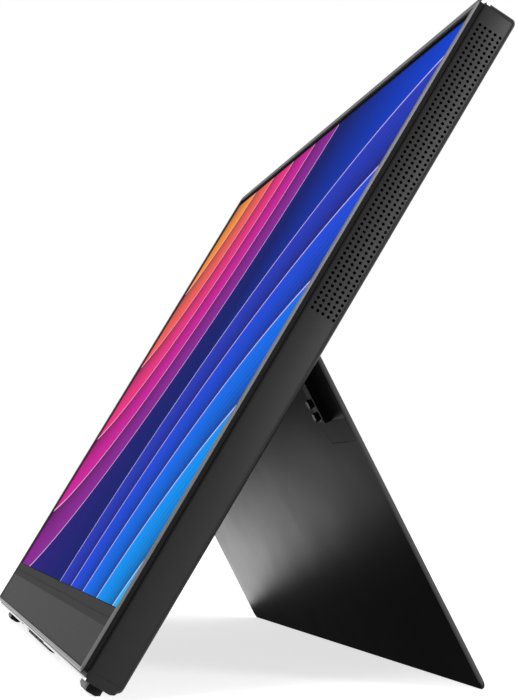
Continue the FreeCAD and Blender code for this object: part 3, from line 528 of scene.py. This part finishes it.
def foot():
    """Rubber foot: black and grained, with painted light making its front face pale."""
    finish = moulded(
        "foot_rubber", grey(FOOT_GREY), roughness=0.60, gloss=0.1, grain=0.25 * MM, depth=0.04 * MM,
    )
    # painted light: the front face is pale
    front = finish.depth().over(-FOOT_FRONT)
    finish.set(Base_Color=finish.mix(front, finish.so_far("Base Color"), grey(FOOT_FRONT_LIGHT_GREY)))
    return finish


def skid_finish():
    """The shell's finish with a painted highlight, near white, on the bevel along its front."""
    finish = crowned_shell("skid_satin_grey")
    bevel = SKID_BEVEL + SKID_GLINT_SPARE
    # painted highlight: the front bevel is near white and partly metallic
    cut = finish.depth().over((SKID_FRONT - bevel) * MM) * finish.high().under((bevel - SKID_RAIL) * MM)
    finish.set(Base_Color=finish.mix(cut, finish.so_far("Base Color"), grey(SKID_BEVEL_GLINT_GREY)))
    finish.set(Metallic=cut * CUT_METAL)
    return finish


def skid_ring(across, top, back, low):
    """One section of the shell's lower edge, from its bevelled front to its soft rear; takes millimetres."""
    outline = [
        (top, SKID_FRONT), (SKID_BEVEL - low, SKID_FRONT), (-low, SKID_FRONT - SKID_BEVEL),
        (-low, back + SKID_REAR_RUN), (SKID_REAR_RISE - low, back + SKID_REAR_RISE), (top, back),
    ]
    return [(across * MM, v * MM, n * MM) for v, n in outline]


def sweep(mesh, rings):
    """Skins a row of sections and closes both ends."""
    rows = [[mesh.verts.new(point) for point in ring] for ring in rings]
    count = len(rows[0])
    for first, second in zip(rows, rows[1:]):
        for k in range(count):
            j = (k + 1) % count
            mesh.faces.new((first[k], first[j], second[j], second[k]))
    mesh.faces.new(rows[0])
    mesh.faces.new(reversed(rows[-1]))


def in_panel(mesh, name):
    """Turns a mesh that was drawn in the panel's frame into mesh data in the row's frame."""
    bmesh.ops.recalc_face_normals(mesh, faces=mesh.faces[:])
    data = bpy.data.meshes.new(name)
    mesh.to_mesh(data)
    mesh.free()
    data.transform(PANEL)
    return data


def bottom_skid():
    """Lower edge of the shell: full depth at both sides, and a narrow rail in front of the keys."""
    mesh = bmesh.new()
    for side in (-1, 1):
        sweep(mesh, [skid_ring(side * across, top, back, SKID) for across, top, back in SKID_END])
    keys_end = SKID_END[0][0]
    rail = [skid_ring(across, SKID_ROOT, SKID_RAIL_BACK, SKID_RAIL) for across in (-keys_end, keys_end)]
    sweep(mesh, rail)
    return in_panel(mesh, "bottom_skid")


def perforated_strip():
    """The speaker grille in the right wall, with a round hole in every cell of its grid."""
    mesh = bmesh.new()
    outer = WIDTH / 2
    inner = outer - WALL
    low = GRILLE_TOP - (GRILLE_ROWS - 1) * GRILLE_PITCH
    back = -GRILLE_DEPTH - (GRILLE_COLUMNS - 1) * GRILLE_COLUMN_PITCH / 2
    half_row = GRILLE_PITCH / 2
    half_column = GRILLE_COLUMN_PITCH / 2
    corner = math.atan2(half_column, half_row)
    turns = [2 * math.pi * (k + 0.5) / HOLE_SIDES for k in range(HOLE_SIDES)]
    around = sorted(turns + [corner, math.pi - corner, math.pi + corner, 2 * math.pi - corner])

    def border(place, middle, half, first, last):
        """Puts a cell's edge on the strip's border where the cell is at an end of the grid."""
        if first and abs(place - (middle - half)) < SAME_PLACE:
            return middle - GRILLE_MARGIN
        if last and abs(place - (middle + half)) < SAME_PLACE:
            return middle + GRILLE_MARGIN
        return place

    for row in range(GRILLE_ROWS):
        for column in range(GRILLE_COLUMNS):
            v = low + row * GRILLE_PITCH
            n = back + column * GRILLE_COLUMN_PITCH
            rim, far = [], []
            cell, cell_far = [], []
            for turn in around:
                y = v + GRILLE_HOLE / 2 * math.cos(turn)
                z = n + GRILLE_HOLE / 2 * math.sin(turn)
                rim.append(mesh.verts.new((outer, y, z)))
                far.append(mesh.verts.new((inner, y, z)))
                reach = max(abs(math.cos(turn)) / half_row, abs(math.sin(turn)) / half_column)
                y = border(v + math.cos(turn) / reach, v, half_row, row == 0, row == GRILLE_ROWS - 1)
                z = n + math.sin(turn) / reach
                z = border(z, n, half_column, column == 0, column == GRILLE_COLUMNS - 1)
                cell.append(mesh.verts.new((outer, y, z)))
                cell_far.append(mesh.verts.new((inner, y, z)))
            count = len(around)
            for k in range(count):
                j = (k + 1) % count
                mesh.faces.new((rim[k], cell[k], cell[j], rim[j]))
                mesh.faces.new((far[j], cell_far[j], cell_far[k], far[k]))
                mesh.faces.new((rim[j], far[j], far[k], rim[k]))
    bmesh.ops.remove_doubles(mesh, verts=mesh.verts[:], dist=WELD)
    return in_panel(mesh, "perforated_strip")


def dress(finish, *nodes):
    for name in nodes:
        slots = frame["nodes"][name].data.materials
        slots.clear()
        slots.append(finish.material)


def link(name, mesh, finish, body):
    """Adds a made mesh as a piece that rides on a body."""
    piece = bpy.data.objects.new(name, mesh)
    bpy.context.scene.collection.objects.link(piece)
    mesh.materials.append(finish.material)
    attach(piece, body)
    return piece


def dress_monitor():
    """The shell with its grille and lower edge, the front, the keys, the sockets and what lies inside."""
    shell = crowned_shell("shell_satin_grey")
    dress(shell, "rear_cover")
    strip = link("perforated_grille", perforated_strip(), shell, "monitor")
    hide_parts("side_grille")
    dress(frame_rim(), "front_frame")
    link("bottom_skid", bottom_skid(), skid_finish(), "monitor")
    dress(chin(), "chin_plate")
    dress(moulded("chin_strip_black", grey(CHIN_STRIP_GREY), roughness=0.70, gloss=0.03), "chin_strip")
    dress(picture(), "cover_glass")
    dress(moulded("cell_dark_film", grey(0.010), roughness=0.30), "lcd_panel")
    dress(moulded("backlight_white", grey(0.75), roughness=0.5), "backlight_tray")
    dress(brushed("chassis_rolled_sheet", 0.45, roughness=0.4, metallic=0.8), "chassis_plate")
    dress(foot(), "foot_left", "foot_right")
    keys = [f"key_{n}" for n in range(1, 6)]
    dress(moulded("key_satin_black", grey(0.005), roughness=0.45, gloss=0.05), "key_bezel", *keys)
    dress(moulded("board_green", BOARD_GREEN, roughness=0.4), "main_board", "key_board")
    dress(moulded("speaker_black", grey(0.012), roughness=0.6), "speaker")
    sockets = ("data_port_lower", "data_port_upper", "video_port")
    dress(brushed("socket_steel", 0.45, roughness=0.3), *sockets)


def dress_stand():
    """The stand's plate and its hinges, with their pins, rivets and screws."""
    dress(stand(), "stand_plate")
    oxide = moulded("hinge_black_oxide", grey(0.005), roughness=0.45, gloss=0.003)
    dress(oxide, "hinge_bracket_left", "hinge_bracket_right", "hinge_leaf_left", "hinge_leaf_right")
    cover = moulded("hinge_cover_grey", grey(0.004), roughness=0.45, gloss=0.0011)
    dress(cover, "hinge_cover_left", "hinge_cover_right")
    steel = brushed("bright_steel", 0.50, roughness=0.28)
    dress(steel, "hinge_pin_left", "hinge_pin_right", "bracket_screws", "chassis_screws")
    dress(moulded("rivet_black", grey(0.004), roughness=0.40, gloss=0.015), "leaf_rivets")


def looked_at(finish):
    """One where a surface is seen, straight, mirrored or through glass, and zero where it only lights."""
    kinds = ("Is Camera Ray", "Is Glossy Ray", "Is Transmission Ray")
    camera_ray, glossy_ray, clear_ray = (finish.node("ShaderNodeLightPath", output=kind) for kind in kinds)
    return (camera_ray + glossy_ray + clear_ray).math("MINIMUM", 1.0)


def floor():
    """Pale table top: white to the camera and in reflections, with the object's soft shadow kept."""
    mesh = bmesh.new()
    bmesh.ops.create_grid(mesh, x_segments=1, y_segments=1, size=TABLE_HALF)
    data = bpy.data.meshes.new("table_top")
    mesh.to_mesh(data)
    mesh.free()
    top = bpy.data.objects.new("table_top", data)
    bpy.context.scene.collection.objects.link(top)
    finish = Finish("table_white")
    finish.set(Base_Color=grey(TABLE_WHITE), Roughness=TABLE_ROUGH)
    strength = looked_at(finish) * TABLE_GLOW
    glow = finish.node("ShaderNodeEmission", None, {"Color": grey(1.0), "Strength": strength})
    both = finish.node("ShaderNodeAddShader", None, {0: Value(finish, finish.shader.outputs[0]), 1: glow})
    finish.feed(finish.tree.nodes["Material Output"].inputs["Surface"], both)
    data.materials.append(finish.material)


def lamp(name, place, aim, width, height, power, roll=0.0):
    """A flat lamp that faces a point, turned about its own axis by roll."""
    light = bpy.data.lights.new(name, "AREA")
    light.shape = "RECTANGLE"
    light.size = width
    light.size_y = height
    light.energy = power
    holder = bpy.data.objects.new(name, light)
    bpy.context.scene.collection.objects.link(holder)
    holder.location = place
    turn = (Vector(aim) - Vector(place)).to_track_quat("-Z", "Y").to_matrix()
    holder.rotation_euler = (turn @ Matrix.Rotation(roll, 3, "Z")).to_euler()
    holder.visible_camera = False
    return holder


def keep_to(holder, nodes):
    """Keeps a lamp's light to some nodes: no other surface receives it."""
    lit = bpy.data.collections.new(holder.name)
    for name in nodes:
        lit.objects.link(frame["nodes"][name])
    holder.light_linking.receiver_collection = lit


def studio():
    """White surroundings and three soft lamps."""
    air = Surround("studio")
    air.feed(air.backdrop.inputs["Color"], grey(1.0))
    air.feed(air.backdrop.inputs["Strength"], AIR_LIGHT + (1 - AIR_LIGHT) * looked_at(air))
    bpy.context.scene.world = air.world
    lamp("key_light", (0.9, -1.0, 1.3), aim=(0, 0, 0.09), width=1.0, height=1.0, power=14)
    lamp("side_light", (1.42, 0.93, 0.34), aim=(0.16, 0.09, 0.17), width=0.5, height=0.5, power=20)
    above = LOW_LAMP + Vector((0, 0, 1))
    low = lamp("low_light", LOW_LAMP, above, width=0.32, height=0.068, power=2.3, roll=LOW_LAMP_ROLL)
    keep_to(low, STAND_NODES)
    bpy.context.scene.view_settings.view_transform = "Standard"


def camera():
    """Camera at the photograph's place and angle."""
    data = bpy.data.cameras.new("camera")
    data.sensor_width = SENSOR
    data.lens = CAMERA_FOCUS * SENSOR / FRAME_HEIGHT
    data.clip_start = CAMERA_NEAR
    holder = bpy.data.objects.new("camera", data)
    bpy.context.scene.collection.objects.link(holder)
    view = CAMERA_VIEW.normalized()
    right = (CAMERA_RIGHT - view * CAMERA_RIGHT.dot(view)).normalized()
    turn = Matrix((right, right.cross(view), -view)).transposed().to_4x4()
    holder.matrix_world = PANEL @ Matrix.Translation(CAMERA_PLACE) @ turn
    bpy.context.scene.camera = holder


dress_monitor()
dress_stand()
floor()
studio()
camera()
